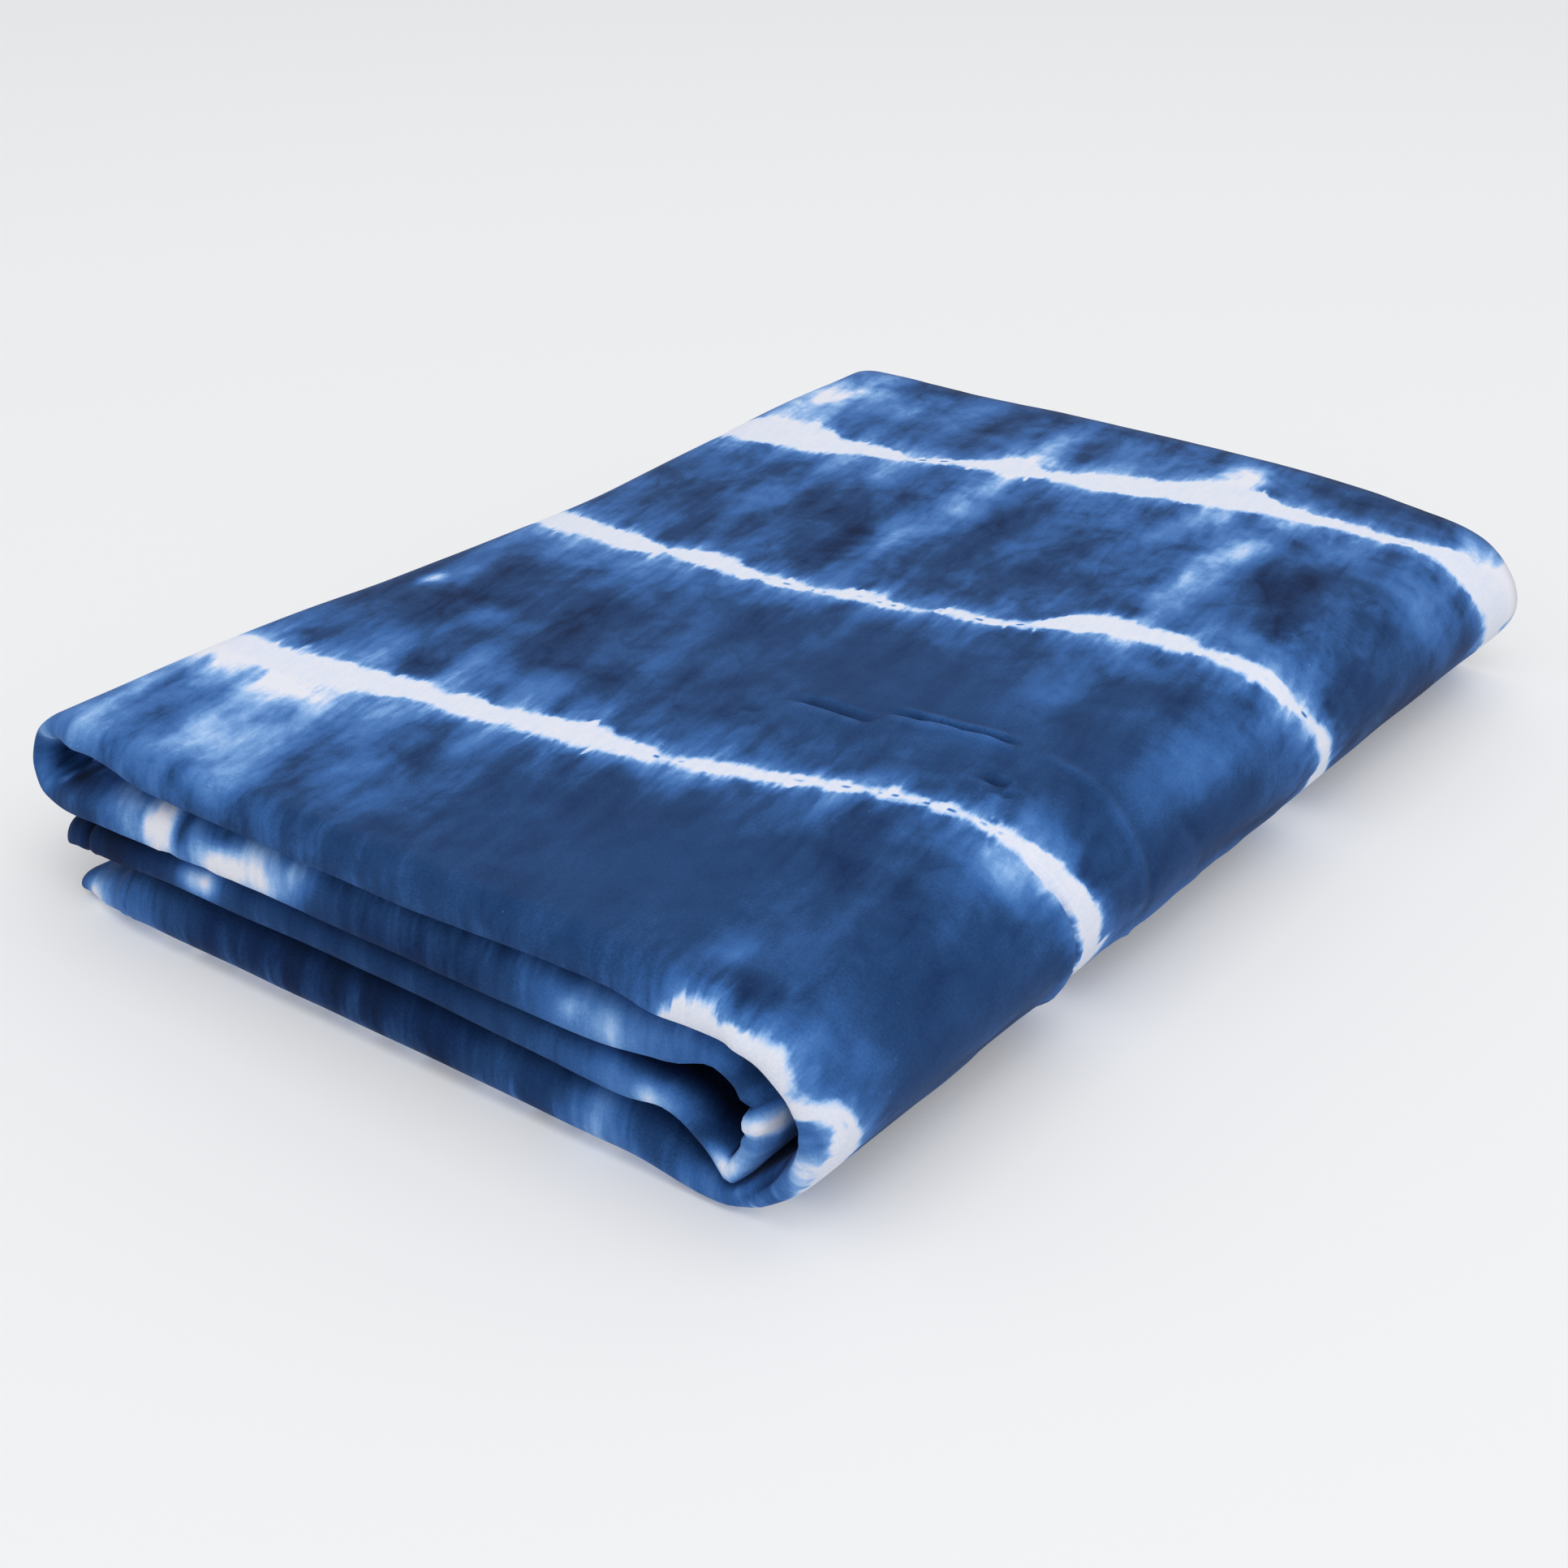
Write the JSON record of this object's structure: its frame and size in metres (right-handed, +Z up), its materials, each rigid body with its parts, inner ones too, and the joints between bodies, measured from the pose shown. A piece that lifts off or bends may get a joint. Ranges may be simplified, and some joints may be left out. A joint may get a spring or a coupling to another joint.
{
  "type": "folded shibori dyed cloth",
  "caption": "Folded cotton cloth dyed indigo with white shibori stripes, a soft flat pack with round folds along its front and spine.",
  "frame": {"origin": "centre of the footprint, on the surface that the pack lies on", "axes": "+X along the front from the left fold to the spine, +Y back along the spine (the longest side), +Z up (the shortest side)"},
  "size_m": [0.284, 0.3946, 0.0592],
  "materials": {
    "cotton": "matt plain-woven cotton, indigo with white and pale blue shibori stripes"
  },
  "bodies": {
    "root": {"folded_cloth": "cotton"}
  },
  "joints": []
}
